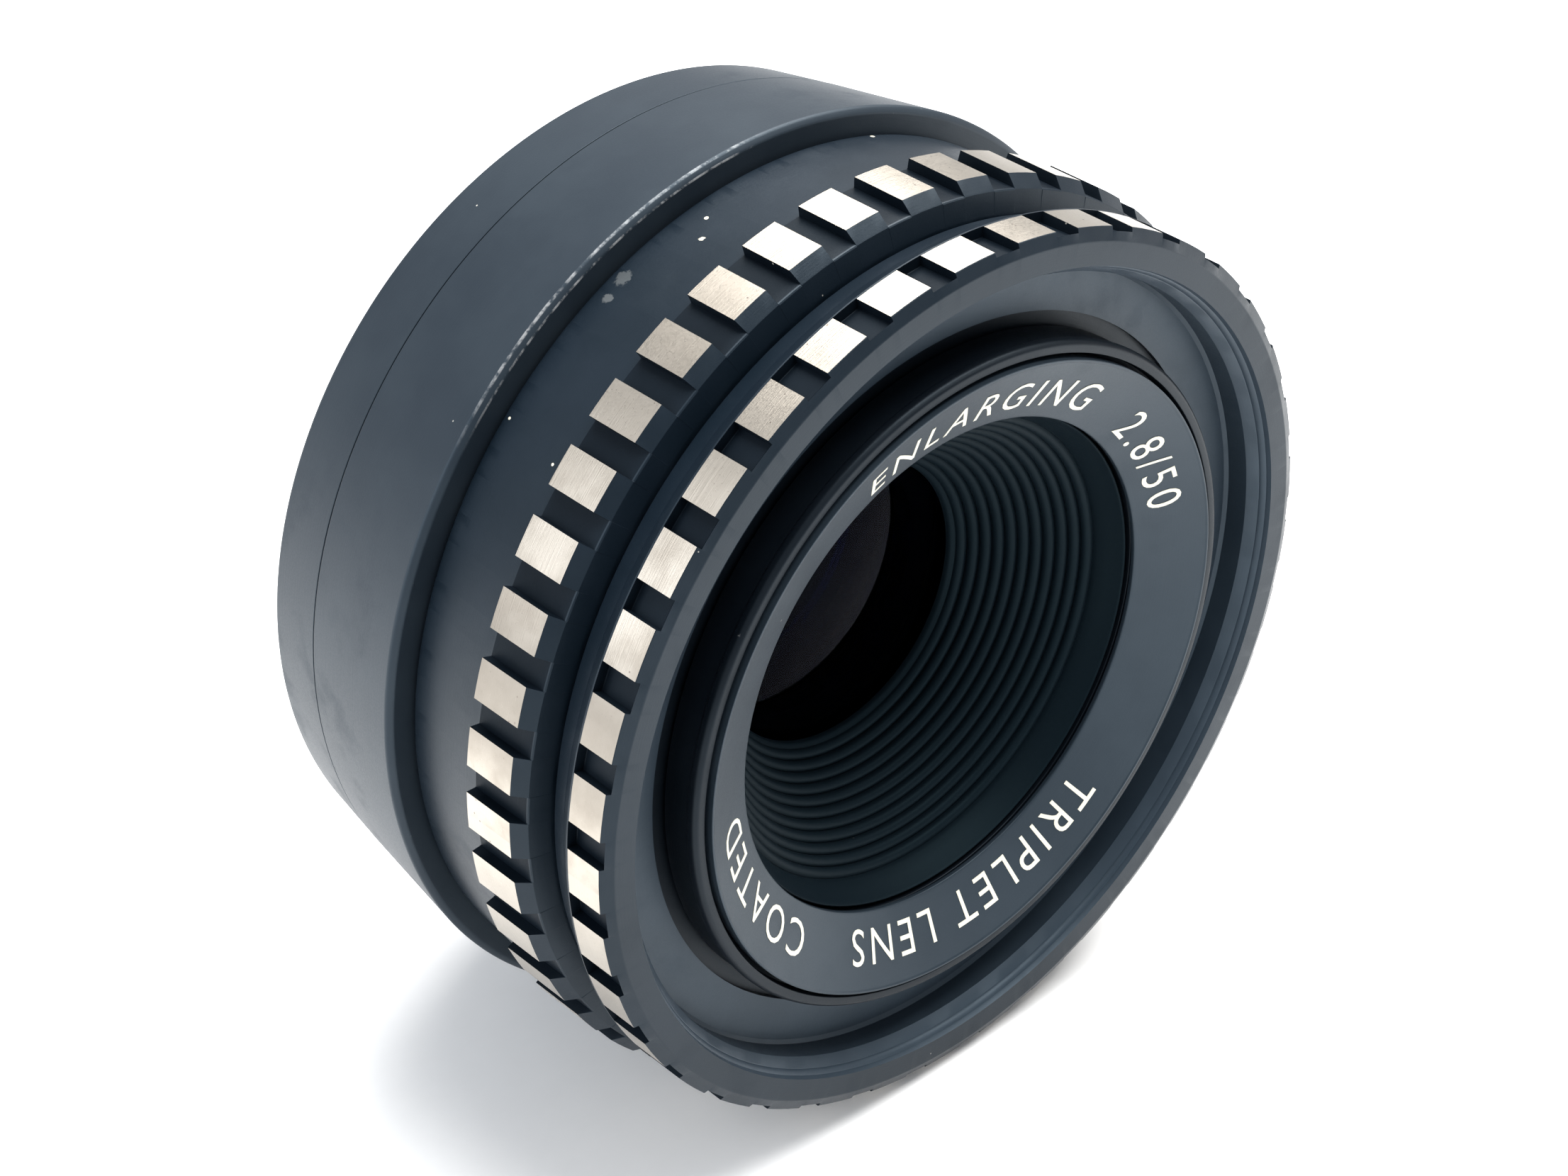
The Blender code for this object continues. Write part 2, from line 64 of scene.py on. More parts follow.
# The dished face of the name ring: its inner and outer edge, and how steeply it comes forward
# between them.
NAME_INNER_R = 15.46
NAME_INNER_STATION = 28.10
NAME_OUTER_R = 19.30
NAME_OUTER_STATION = 30.03
NAME_SLOPE = (NAME_OUTER_STATION - NAME_INNER_STATION) / (NAME_OUTER_R - NAME_INNER_R)
LETTER_BASE_R = 16.2
LETTER_HEIGHT = 2.75
LETTER_SPACING = 1.26

# The camera of the photograph: its place, its two directions and its lens. Lengths are in
# millimetres.
CAMERA_PLACE = (-108.09, -131.78, 107.85)
CAMERA_FORWARD = (0.55929, 0.60702, -0.56455)
CAMERA_RIGHT = (0.73543, -0.67760, 0.0)
FOCAL_LENGTH = 75.65
SENSOR_WIDTH = 36.0

# The lands of the two grip rows, as the CAD mills them.
FOCUS_LANDS = 43
FOCUS_LAND_DEG = 4.83
FOCUS_FIRST_LAND_DEG = 137.76
APERTURE_LANDS = 37
APERTURE_LAND_DEG = 6.06
APERTURE_FIRST_LAND_DEG = 131.02


def at(radius, degrees, station):
    """The point at this radius, angle and station, in metres."""
    turn = math.radians(degrees)
    return Vector((radius * math.cos(turn), -station, radius * math.sin(turn))) * MM


# ---------------------------------------------------------------- node helpers


def add(tree, kind, inputs=None, **settings):
    """Adds a node. inputs maps a socket name or number to a value or to another socket."""
    node = tree.nodes.new(kind)
    for name, value in settings.items():
        setattr(node, name, value)
    for name, value in (inputs or {}).items():
        plug(tree, node.inputs[name], value)
    return node


def plug(tree, socket, value):
    if isinstance(value, bpy.types.NodeSocket):
        tree.links.new(value, socket)
    elif isinstance(value, tuple) and len(value) == 3 and socket.type == "RGBA":
        socket.default_value = (*value, 1)
    else:
        socket.default_value = value


def calc(tree, operation, first, second=0.0):
    return add(tree, "ShaderNodeMath", {0: first, 1: second}, operation=operation).outputs[0]


def between(tree, value, low, high, to_low=0.0, to_high=1.0, smooth=True):
    """Maps low..high to to_low..to_high, clamped."""
    node = add(
        tree,
        "ShaderNodeMapRange",
        {"Value": value, "From Min": low, "From Max": high, "To Min": to_low, "To Max": to_high},
        interpolation_type="SMOOTHSTEP" if smooth else "LINEAR",
    )
    return node.outputs["Result"]


def blend_color(tree, factor, first, second):
    node = add(tree, "ShaderNodeMix", data_type="RGBA")
    plug(tree, node.inputs[0], factor)
    plug(tree, node.inputs[6], first)
    plug(tree, node.inputs[7], second)
    return node.outputs[2]


def noise(tree, vector, scale, detail=3.0, roughness=0.55):
    inputs = {"Vector": vector, "Scale": scale, "Detail": detail, "Roughness": roughness}
    return add(tree, "ShaderNodeTexNoise", inputs).outputs["Fac"]


def lens_coordinates(tree):
    """Object coordinates in millimetres, and the station, the radius and the angle in turns."""
    scaled = add(
        tree,
        "ShaderNodeVectorMath",
        {0: add(tree, "ShaderNodeTexCoord").outputs["Object"], 1: (1000.0, 1000.0, 1000.0)},
        operation="MULTIPLY",
    ).outputs[0]
    parts = add(tree, "ShaderNodeSeparateXYZ", {0: scaled})
    station = calc(tree, "MULTIPLY", parts.outputs["Y"], -1.0)
    across = calc(tree, "MULTIPLY", parts.outputs["X"], parts.outputs["X"])
    upward = calc(tree, "MULTIPLY", parts.outputs["Z"], parts.outputs["Z"])
    radius = calc(tree, "SQRT", calc(tree, "ADD", across, upward))
    turn = calc(tree, "ARCTAN2", parts.outputs["Z"], parts.outputs["X"])
    turn = calc(tree, "MULTIPLY", turn, 1 / (2 * math.pi))
    return scaled, station, radius, turn


def lathe_lines(tree, station, radius, turn, per_mm, stretch=6.0):
    """Noise drawn out round the axis, as a turning tool leaves it."""
    wound = add(tree, "ShaderNodeCombineXYZ", {0: station, 1: radius})
    lengthwise = calc(tree, "MULTIPLY", turn, stretch)
    tree.links.new(lengthwise, wound.inputs[2])
    return noise(tree, wound.outputs[0], per_mm, 2.0)


def specks(tree, vector, scale, size, share):
    """Sparse round specks: 1 on a speck, 0 elsewhere. share is the part of the cells with one."""
    cells = add(tree, "ShaderNodeTexVoronoi", {"Vector": vector, "Scale": scale, "Randomness": 1.0})
    dot = between(tree, cells.outputs["Distance"], size, size * 0.6)
    lot = add(tree, "ShaderNodeSeparateColor", {0: cells.outputs["Color"]}).outputs[0]
    return calc(tree, "MULTIPLY", dot, calc(tree, "LESS_THAN", lot, share))


def spot(tree, scaled, ragged, place, size):
    """1 in a ragged patch of this size in millimetres round (radius, degrees, station), else 0."""
    centre = tuple(at(*place) / MM)
    distance = add(tree, "ShaderNodeVectorMath", {0: scaled, 1: centre}, operation="DISTANCE")
    reach = distance.outputs["Value"]
    reach = calc(tree, "ADD", reach, calc(tree, "MULTIPLY", ragged, size))
    return between(tree, reach, size * 1.15, size * 0.95)


def bump(tree, height, depth_mm, below=None):
    inputs = {"Strength": 1.0, "Distance": depth_mm * MM, "Height": height}
    if below:
        inputs["Normal"] = below
    return add(tree, "ShaderNodeBump", inputs).outputs["Normal"]


def new_material(label, metallic=0.0, specular=0.5, **extra):
    """An empty Principled material. Constant values are set on the shader's own sockets."""
    material = bpy.data.materials.new(label)
    material.use_nodes = True
    shader = material.node_tree.nodes["Principled BSDF"]
    shader.inputs["Metallic"].default_value = metallic
    shader.inputs["Specular IOR Level"].default_value = specular
    for name, value in extra.items():
        shader.inputs[name].default_value = value
    return material, material.node_tree, shader


def finish_shader(tree, shader, color, roughness, normal=None):
    plug(tree, shader.inputs["Base Color"], color)
    plug(tree, shader.inputs["Roughness"], roughness)
    if normal:
        tree.links.new(normal, shader.inputs["Normal"])


# ------------------------------------------------------------------- materials


def black_finish(name, dark, light, roughness, specular, dust, worn, marks=(), rubbed=None):
    """Anodised aluminium: fine grain, lathe lines, dust, and bare metal where an edge is worn.

    marks are ((radius, degrees, station), size in mm, colour) spots. rubbed is the first turn, the
    last turn and the lowest station of an edge that is worn bright all along. A turn is an angle
    as a part of the full circle.
    """
    grain_mm = 0.004
    material, tree, shader = new_material(
        name, specular=specular, **{"Specular Tint": (0.68, 0.85, 1.0, 1)}
    )
    scaled, station, radius, turn = lens_coordinates(tree)
    cloudy = between(tree, noise(tree, scaled, 0.16, 4.0), 0.35, 0.7)
    color = blend_color(tree, cloudy, dark, light)
    grain = noise(tree, scaled, 9.0, 4.0, 0.65)
    lines = lathe_lines(tree, station, radius, turn, 9.0)
    rough = between(tree, grain, 0.2, 0.8, roughness - 0.05, roughness + 0.07, smooth=False)
    smear = between(tree, noise(tree, scaled, 0.35, 3.0), 0.5, 0.75, 0.0, 0.07)
    rough = calc(tree, "ADD", rough, smear)
    motes = specks(tree, scaled, 0.75, 0.055, dust)
    color = blend_color(tree, motes, color, (0.34, 0.33, 0.30))
    edge = add(tree, "ShaderNodeAttribute", attribute_name="edge").outputs["Fac"]
    bare_above = 0.72 - 0.35 * worn
    patches = between(tree, noise(tree, scaled, 0.8, 5.0, 0.7), bare_above, 0.82 - 0.35 * worn)
    if rubbed:
        first, last, station_low = rubbed
        begins = between(tree, turn, first, first + 0.02)
        along = calc(tree, "MULTIPLY", begins, between(tree, turn, last, last - 0.04))
        along = calc(tree, "MULTIPLY", along, calc(tree, "GREATER_THAN", station, station_low))
        fine = between(tree, noise(tree, scaled, 1.2, 4.0, 0.7), 0.40, 0.62)
        patches = calc(tree, "MAXIMUM", patches, calc(tree, "MULTIPLY", along, fine))
    wear = calc(tree, "MULTIPLY", between(tree, edge, 0.55, 0.9), patches)
    color = blend_color(tree, wear, color, (0.20, 0.205, 0.21))
    rough = calc(tree, "SUBTRACT", rough, calc(tree, "MULTIPLY", wear, 0.1))
    ragged = noise(tree, scaled, 3.0, 3.0, 0.7) if marks else None
    for place, size, tone in marks:
        color = blend_color(tree, spot(tree, scaled, ragged, place, size), color, tone)
    normal = bump(tree, grain, grain_mm)
    normal = bump(tree, lines, grain_mm * 0.8, normal)
    finish_shader(tree, shader, color, rough, normal)
    return material


def land_metal():
    """The bright tops of the grip lands: champagne aluminium with lathe lines and tarnish, and
    painted shade on the lands between 144° and 180° round the axis.
    """
    material, tree, shader = new_material("bright_land", metallic=1.0)
    scaled, station, radius, turn = lens_coordinates(tree)
    lines = lathe_lines(tree, station, radius, turn, 14.0, 3.0)
    grain = noise(tree, scaled, 7.0, 5.0, 0.7)
    tarnish = between(tree, noise(tree, scaled, 0.34, 3.0), 0.35, 0.7)
    # The tarnish noise keeps full strength only from 144° to 180° round the axis, fading in from
    # 130°: painted shade on those lands, over real tarnish.
    painted_shade_side = between(tree, turn, 0.36, 0.40, 0.35, 1.0)
    # A darker band on the lands from 148° to 176° round the axis: painted shade.
    begins = between(tree, turn, 0.41, 0.445)
    painted_shade_band = calc(tree, "MULTIPLY", begins, between(tree, turn, 0.49, 0.465))
    tarnish = calc(tree, "MULTIPLY", tarnish, painted_shade_side)
    color = blend_color(tree, tarnish, (0.46, 0.42, 0.365), (0.33, 0.295, 0.25))
    color = blend_color(tree, between(tree, grain, 0.55, 0.8, 0.0, 0.5), color, (0.28, 0.25, 0.22))
    color = blend_color(tree, calc(tree, "MULTIPLY", painted_shade_band, 0.7), color, (0.20, 0.18, 0.155))
    pits = specks(tree, scaled, 2.2, 0.16, 0.12)
    color = blend_color(tree, pits, color, (0.20, 0.17, 0.15))
    rough = between(tree, grain, 0.25, 0.8, 0.25, 0.40, smooth=False)
    normal = bump(tree, lines, 0.006)
    normal = bump(tree, grain, 0.003, normal)
    finish_shader(tree, shader, color, rough, normal)
    return material


def baffle_paint():
    """Matt paint with a fine grain and a little dust."""
    material, tree, shader = new_material(
        "baffle_black", specular=0.08, **{"Specular Tint": (0.5, 0.85, 1.0, 1)}
    )
    scaled = lens_coordinates(tree)[0]
    grain = noise(tree, scaled, 12.0, 5.0, 0.7)
    color = blend_color(tree, grain, (0.0025, 0.0055, 0.0085), (0.0055, 0.0100, 0.0140))
    motes = specks(tree, scaled, 0.9, 0.05, 0.05)
    color = blend_color(tree, motes, color, (0.16, 0.16, 0.15))
    rough = between(tree, grain, 0.2, 0.8, 0.42, 0.58, smooth=False)
    finish_shader(tree, shader, color, rough, bump(tree, grain, 0.006))
    return material


def cream_paint():
    """The paint of the lettering."""
    material, tree, shader = new_material("cream_paint", specular=0.4)
    scaled = lens_coordinates(tree)[0]
    grain = noise(tree, scaled, 7.0, 4.0, 0.65)
    color = blend_color(tree, grain, (0.62, 0.60, 0.50), (0.80, 0.78, 0.67))
    rough = between(tree, grain, 0.2, 0.8, 0.45, 0.62, smooth=False)
    finish_shader(tree, shader, color, rough, bump(tree, grain, 0.008))
    return material


def plain_metal(name, dark, light, roughness):
    """Turned brass, steel or aluminium: lathe lines and a little tarnish."""
    material, tree, shader = new_material(name, metallic=1.0)
    scaled, station, radius, turn = lens_coordinates(tree)
    lines = lathe_lines(tree, station, radius, turn, 7.0)
    grain = noise(tree, scaled, 2.4, 4.0)
    color = blend_color(tree, grain, dark, light)
    rough = between(tree, lines, 0.2, 0.8, roughness - 0.06, roughness + 0.1, smooth=False)
    finish_shader(tree, shader, color, rough, bump(tree, lines, 0.006))
    return material


def coated_glass():
    """Optical glass with a faint unevenness in its tint. The tint is a blue cast made very dark:
    painted shade that keeps the inside of the lens dim.
    """
    material, tree, shader = new_material(
        "coated_glass_fine",
        **{
            "Transmission Weight": 1.0,
            "IOR": 1.08,
            "Specular Tint": (0.25, 0.45, 1.0, 1),
        },
    )
    scaled = lens_coordinates(tree)[0]
    haze = noise(tree, scaled, 1.1, 5.0, 0.7)
    # The dark blue transmission colour is painted shade for the inside of the lens, with the
    # coating's blue cast.
    color = blend_color(tree, haze, (0.09, 0.11, 0.30), (0.12, 0.14, 0.36))
    finish_shader(tree, shader, color, 0.0)
    return material


def table_paper():
    """Plain pale paper with faint fibres."""
    material, tree, shader = new_material("table_paper", specular=0.2)
    scaled = lens_coordinates(tree)[0]
    fibres = noise(tree, scaled, 0.6, 5.0, 0.6)
    color = blend_color(tree, fibres, (0.90, 0.905, 0.91), (0.93, 0.935, 0.94))
    rough = between(tree, fibres, 0.2, 0.8, 0.7, 0.85, smooth=False)
    finish_shader(tree, shader, color, rough, bump(tree, fibres, 0.01))
    return material


CHIP = (0.62, 0.58, 0.47)
BARREL_BLACK = black_finish(
    "barrel_black",
    (0.010, 0.015, 0.0215),
    (0.014, 0.020, 0.027),
    roughness=0.44,
    specular=0.32,
    dust=0.03,
    worn=0.2,
    rubbed=(0.25, 0.40, 13.1),
)
RING_BLACK = black_finish(
    "ring_black",
    (0.003, 0.0065, 0.011),
    (0.005, 0.009, 0.0145),
    roughness=0.38,
    specular=0.27,
    dust=0.05,
    worn=0.1,
    marks=(
        ((26.69, 104.0, 15.4), 0.24, CHIP),
        ((26.81, 107.0, 16.6), 0.30, CHIP),
        ((26.60, 75.0, 14.2), 0.26, CHIP),
        ((26.64, 116.0, 14.7), 0.85, (0.050, 0.056, 0.060)),
        ((26.66, 119.0, 14.9), 0.55, (0.060, 0.066, 0.070)),
        ((26.60, 136.5, 14.3), 0.16, CHIP),
        ((27.01, 138.3, 18.9), 0.14, CHIP),
    ),
)
# Slot floors: a darker, duller black than the ring's, which is painted shade for the deep slots,
# with more dust.
SLOT_PAINTED_SHADE = black_finish(
    "slot_painted_shade",
    (0.002, 0.004, 0.007),
    (0.004, 0.007, 0.011),
    roughness=0.46,
    specular=0.10,
    dust=0.10,
    worn=0.0,
)
# Inside the grip ring's mouth: a lighter, glossier black than the ring's, which is painted light
# that lifts the shaded bore.
BORE_PAINTED_LIGHT = black_finish(
    "bore_painted_light",
    (0.014, 0.022, 0.032),
    (0.020, 0.030, 0.042),
    roughness=0.46,
    specular=0.42,
    dust=0.03,
    worn=0.0,
)
HEAD_BLACK = black_finish(
    "head_black",
    (0.0025, 0.004, 0.0065),
    (0.004, 0.006, 0.009),
    roughness=0.40,
    specular=0.20,
    dust=0.06,
    worn=0.1,
)
NAME_BLACK = black_finish(
    "name_black",
    (0.010, 0.016, 0.023),
    (0.014, 0.021, 0.029),
    roughness=0.43,
    specular=0.38,
    dust=0.03,
    worn=0.1,
)
LAND = land_metal()
BAFFLE = baffle_paint()
CREAM = cream_paint()
BRASS = plain_metal("brass_fine", (0.55, 0.40, 0.17), (0.74, 0.57, 0.29), 0.32)
STEEL = plain_metal("blued_steel_fine", (0.055, 0.06, 0.075), (0.14, 0.15, 0.17), 0.34)
BARE = plain_metal("bare_aluminium", (0.33, 0.33, 0.325), (0.46, 0.455, 0.44), 0.32)
GLASS = coated_glass()


# --------------------------------------------------------------- turned pieces


def eased(points):
    """(radius, station, edge) rings with every corner rounded. edge is 1 on an outer corner's arc.

    A point may carry its own third number, the setback of its arc in millimetres.
    """
    steps = 3
    corners = [Vector(p[:2]) for p in points]
    rings = []
    for i, corner in enumerate(corners):
        before = corners[i - 1] - corner
        after = corners[(i + 1) % len(corners)] - corner
        setback = points[i][2] if len(points[i]) > 2 else EASE
        setback = min(setback, 0.4 * before.length, 0.4 * after.length)
        start = corner + before.normalized() * setback
        end = corner + after.normalized() * setback
        turning = before.x * after.y - before.y * after.x
        for step in range(steps + 1):
            t = step / steps
            bend = start * (1 - t) ** 2 + corner * 2 * t * (1 - t) + end * t**2
            outer = 1.0 if turning > 0 and 0 < step < steps else 0.35 if turning > 0 else 0.0
            rings.append((bend.x, bend.y, outer))
    return rings


def mesh_from_columns(name, columns, closed=True, face_slots=None):
    """A mesh from profile columns round the axis.

    columns is a list of (degrees, rings), all with the same number of rings. A profile that starts
    and ends on the axis isn't closed. face_slots(column, ring) gives the material slot of the face
    after that column and ring.
    """
    per = len(columns[0][1])
    table = np.array([rings for _, rings in columns])
    turns = np.radians([degrees for degrees, _ in columns])[:, None]
    points = np.stack(
        [table[..., 0] * np.cos(turns), -table[..., 1], table[..., 0] * np.sin(turns)], axis=-1
    )
    count = len(columns)
    spans = per if closed else per - 1
    faces = []
    slots = []
    for column in range(count):
        following = (column + 1) % count
        for ring in range(spans):
            after = (ring + 1) % per
            faces.append(
                (
                    column * per + ring,
                    column * per + after,
                    following * per + after,
                    following * per + ring,
                )
            )
            slots.append(face_slots(column, ring) if face_slots else 0)
    mesh = bpy.data.meshes.new(name)
    mesh.from_pydata((points.reshape(-1, 3) * MM).tolist(), [], faces)
    mesh.polygons.foreach_set("material_index", slots)
    edge = mesh.attributes.new("edge", "FLOAT", "POINT")
    edge.data.foreach_set("value", table[..., 2].ravel().astype(np.float32))
    return mesh


def finish_mesh(name, mesh, *materials, sharp=32):
    """Welds what meets on the axis, turns the faces outward and shades the rounded edges smooth."""
    shape = bmesh.new()
    shape.from_mesh(mesh)
    bmesh.ops.remove_doubles(shape, verts=shape.verts, dist=1e-8)
    bmesh.ops.recalc_face_normals(shape, faces=shape.faces)
    shape.to_mesh(mesh)
    shape.free()
    mesh.shade_smooth()
    mesh.set_sharp_from_angle(angle=math.radians(sharp))
    obj = bpy.data.objects.new(name, mesh)
    bpy.context.scene.collection.objects.link(obj)
    for material in materials:
        mesh.materials.append(material)
    weighted = obj.modifiers.new("even shading", "WEIGHTED_NORMAL")
    weighted.keep_sharp = True
    return obj


def turned(name, points, material, columns=192):
    """A piece with one profile all round: a closed outline of points, its corners rounded."""
    rings = eased(points)
    angles = [360.0 * i / columns for i in range(columns)]
    mesh = mesh_from_columns(name, [(angle, rings) for angle in angles])
    return finish_mesh(name, mesh, material)


def stands_for(piece, node, body):
    """The piece rides its body and is shown instead of the CAD node, whose box it has to match."""
    low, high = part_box(node)
    bpy.context.view_layer.update()
    corners = np.array([piece.matrix_world @ Vector(c) for c in piece.bound_box])
    apart_low = np.abs(corners.min(0) - np.array(low)).max()
    apart = max(apart_low, np.abs(corners.max(0) - np.array(high)).max())
    if apart > 0.4 * MM:
        raise ValueError(f"{piece.name} is {apart / MM:.2f} mm off {node}")
    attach(piece, body)
    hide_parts(node)


def carve(piece, cutters):
    """Takes the cutters away from the piece, and removes them."""
    for cutter in cutters:
        cut = piece.modifiers.new("cut", "BOOLEAN")
        cut.operation = "DIFFERENCE"
        cut.object = cutter
        cut.solver = "EXACT"
    # The even shading would be worked out before the cuts, so it goes.
    while piece.modifiers[0].type != "BOOLEAN":
        piece.modifiers.remove(piece.modifiers[0])
    bpy.context.view_layer.update()
    graph = bpy.context.evaluated_depsgraph_get()
    mesh = bpy.data.meshes.new_from_object(piece.evaluated_get(graph), depsgraph=graph)
    piece.modifiers.clear()
    piece.data = mesh
    mesh.shade_smooth()
    mesh.set_sharp_from_angle(angle=math.radians(32))
    for cutter in cutters:
        bpy.data.objects.remove(cutter)


def bare_turned(name, points, steps=48):
    """A small turned shape on its own axis, along local Z, from (radius, height) points."""
    mesh = bpy.data.meshes.new(name)
    verts = []
    for step in range(steps):
        turn = 2 * math.pi * step / steps
        verts += [(r * math.cos(turn) * MM, r * math.sin(turn) * MM, z * MM) for r, z in points]
    per = len(points)
    faces = [
        (
            here * per + i,
            here * per + (i + 1) % per,
            (here + 1) % steps * per + (i + 1) % per,
            (here + 1) % steps * per + i,
        )
        for here in range(steps)
        for i in range(per)
    ]
    mesh.from_pydata(verts, [], faces)
    return mesh


# ---------------------------------------------------------------------- barrel


def build_barrel():
    front = -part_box("rear_barrel")[0].y / MM
    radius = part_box("rear_barrel")[1].x / MM
    barrel = turned(
        "rear_barrel_fine",
        [
            (27.68, front, 0.10),
            (radius, front - 0.27, 0.16),
            (26.91, 5.24, 0.06),
            (25.20, 5.24),
            (25.20, 8.90),
            (22.60, 8.90),
            (22.60, 10.20),
            (25.00, 10.20),
            (25.00, front, 0.10),
        ],
        BARREL_BLACK,
        columns=256,
    )
    stands_for(barrel, "rear_barrel", "barrel")
    ring = turned(
        "mount_ring_fine",
        [
            (24.90, 7.00),
            (24.90, 5.16),
            (26.89, 5.16, 0.06),
            (26.20, 0.75, 0.14),
            (25.80, 0.35, 0.14),
            (25.00, 0.35),
            (25.00, 1.50),
            (20.60, 1.50),
            (20.60, 3.20),
            (22.50, 3.20),
            (22.50, 7.00),
        ],
        BARREL_BLACK,
        columns=256,
    )
    stands_for(ring, "mount_ring", "barrel")
    build_thread()


def build_thread():
    """The mounting thread: one real helix of 1 mm pitch behind a flat flange with its screws."""
    pitch = 1.0
    depth = 0.54
    crest = 20.90
    rear = -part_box("threaded_mount")[1].y / MM
    columns = []
    count = 180
    for column in range(count):
        turn = column / count
        rings = [(24.70, 1.20, 0.0), (24.70, 0.06, 0.0), (24.64, 0.0, 1.0), (20.50, 0.0, 0.0)]
        for step in range(61):
            station = -0.1 + (rear + 0.1) * step / 60
            phase = (station / pitch + turn) % 1.0
            groove = max(0.0, min(1.0, 1.25 * (1 - abs(2 * phase - 1)) - 0.12))
            runout = min(
                1.0, max(0.0, (station + 4.3) / 0.5), max(0.0, (-station - 0.15) / 0.4)
            )
            radius = crest - depth * (1 - groove) * min(1.0, max(0.0, (-station - 0.1) / 0.3))
            chamfer = crest + 0.05 - max(0.0, 0.45 - (station - rear))
            rings.append((min(radius, chamfer), station, groove * runout * 0.9))
        rings += [(18.70, rear, 1.0), (18.60, rear + 0.1, 0.0), (18.60, 1.20, 0.0)]
        columns.append((360.0 * turn, rings))
    mesh = mesh_from_columns("threaded_mount_fine", columns)
    mount = finish_mesh("threaded_mount_fine", mesh, BARE)
    wells = []
    screws = [f"mount_screw_{number}" for number in (1, 2, 3)]
    for screw in screws:
        low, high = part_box(screw)
        middle = (low + high) / 2
        outline = [(0.0, -2.0), (0.75, -2.0), (0.75, -0.95), (1.35, -0.95), (1.35, 1), (0.0, 1)]
        well = bpy.data.objects.new("well", bare_turned("well", outline))
        bpy.context.scene.collection.objects.link(well)
        turn_up = Matrix.Rotation(math.radians(-90), 4, "X")
        well.matrix_world = Matrix.Translation((middle.x, 0, middle.z)) @ turn_up
        shape = bmesh.new()
        shape.from_mesh(well.data)
        bmesh.ops.remove_doubles(shape, verts=shape.verts, dist=1e-8)
        bmesh.ops.recalc_face_normals(shape, faces=shape.faces)
        shape.to_mesh(well.data)
        shape.free()
        wells.append(well)
    carve(mount, wells)
    stands_for(mount, "threaded_mount", "barrel")
    for screw in screws:
        build_screw(screw)


def build_screw(node):
    """A cheese-head screw with a milled slot. The head faces the rear."""
    low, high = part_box(node)
    middle = (low + high) / 2
    head = high.y / MM
    profile = [
        (0.0, -low.y / MM),
        (0.55, -low.y / MM),
        (0.55, -head + 0.65),
        (1.10, -head + 0.65),
        (1.10, -head + 0.10),
        (1.02, -head),
        (0.0, -head),
    ]
    mesh = bare_turned(node + "_fine", profile, 40)
    screw = finish_mesh(node + "_fine", mesh, STEEL, sharp=40)
    lie_back = Matrix.Rotation(math.radians(90), 4, "X")
    screw.matrix_world = Matrix.Translation((middle.x, 0, middle.z)) @ lie_back
    slot_mesh = bpy.data.meshes.new("slot")
    shape = bmesh.new()
    bmesh.ops.create_cube(shape, size=1.0, matrix=Matrix.Diagonal((3 * MM, 0.28 * MM, 0.6 * MM, 1)))
    shape.to_mesh(slot_mesh)
    shape.free()
    slot = bpy.data.objects.new("slot", slot_mesh)
    bpy.context.scene.collection.objects.link(slot)
    # Each screw stopped at its own angle.
    lean = math.atan2(middle.z, middle.x) * 2.3
    slot.matrix_world = Matrix.Translation((middle.x, high.y, middle.z)) @ (
        Matrix.Rotation(lean, 4, "Y") @ lie_back
    )
    carve(screw, [slot])
    stands_for(screw, node, "barrel")


# ------------------------------------------------------------------ grip rings


def milled_ring(name, land_rings, slot_rings, bright, lands, land_deg, first_deg, bore=(0, 0)):
    """A ring with a row of lands.

    bright is the range of rings that a land's bright top covers, and bore the range inside the
    mouth.
    """
    finishes = (RING_BLACK, LAND, BORE_PAINTED_LIGHT, SLOT_PAINTED_SHADE)
    side, land_top, mouth, shaded_slot_floor = range(len(finishes))
    pitch = 360.0 / lands
    wall_deg = 0.02
    columns = []
    on_land = []
    for land in range(lands):
        left = first_deg - land * pitch + land_deg / 2
        right = left - land_deg
        slot_deg = pitch - land_deg
        for step in range(4):
            columns.append((left - land_deg * step / 3, land_rings))
        for step in range(4):
            turn = right - wall_deg - (slot_deg - 2 * wall_deg) * step / 3
            columns.append((turn, slot_rings))
        on_land += [True] * 3 + [False] * 5

    def finish_of(column, ring):
        # Inside the mouth the lighter black goes on: painted light.
        if bore[0] <= ring < bore[1]:
            return mouth
        # The slot floors take the darker black: painted shade in the slots.
        if not on_land[column] and bright[0] - 1 <= ring < bright[1] + 1:
            return shaded_slot_floor
        return land_top if on_land[column] and bright[0] <= ring < bright[1] else side

    mesh = mesh_from_columns(name, columns, face_slots=finish_of)
    return finish_mesh(name, mesh, *finishes, sharp=28)


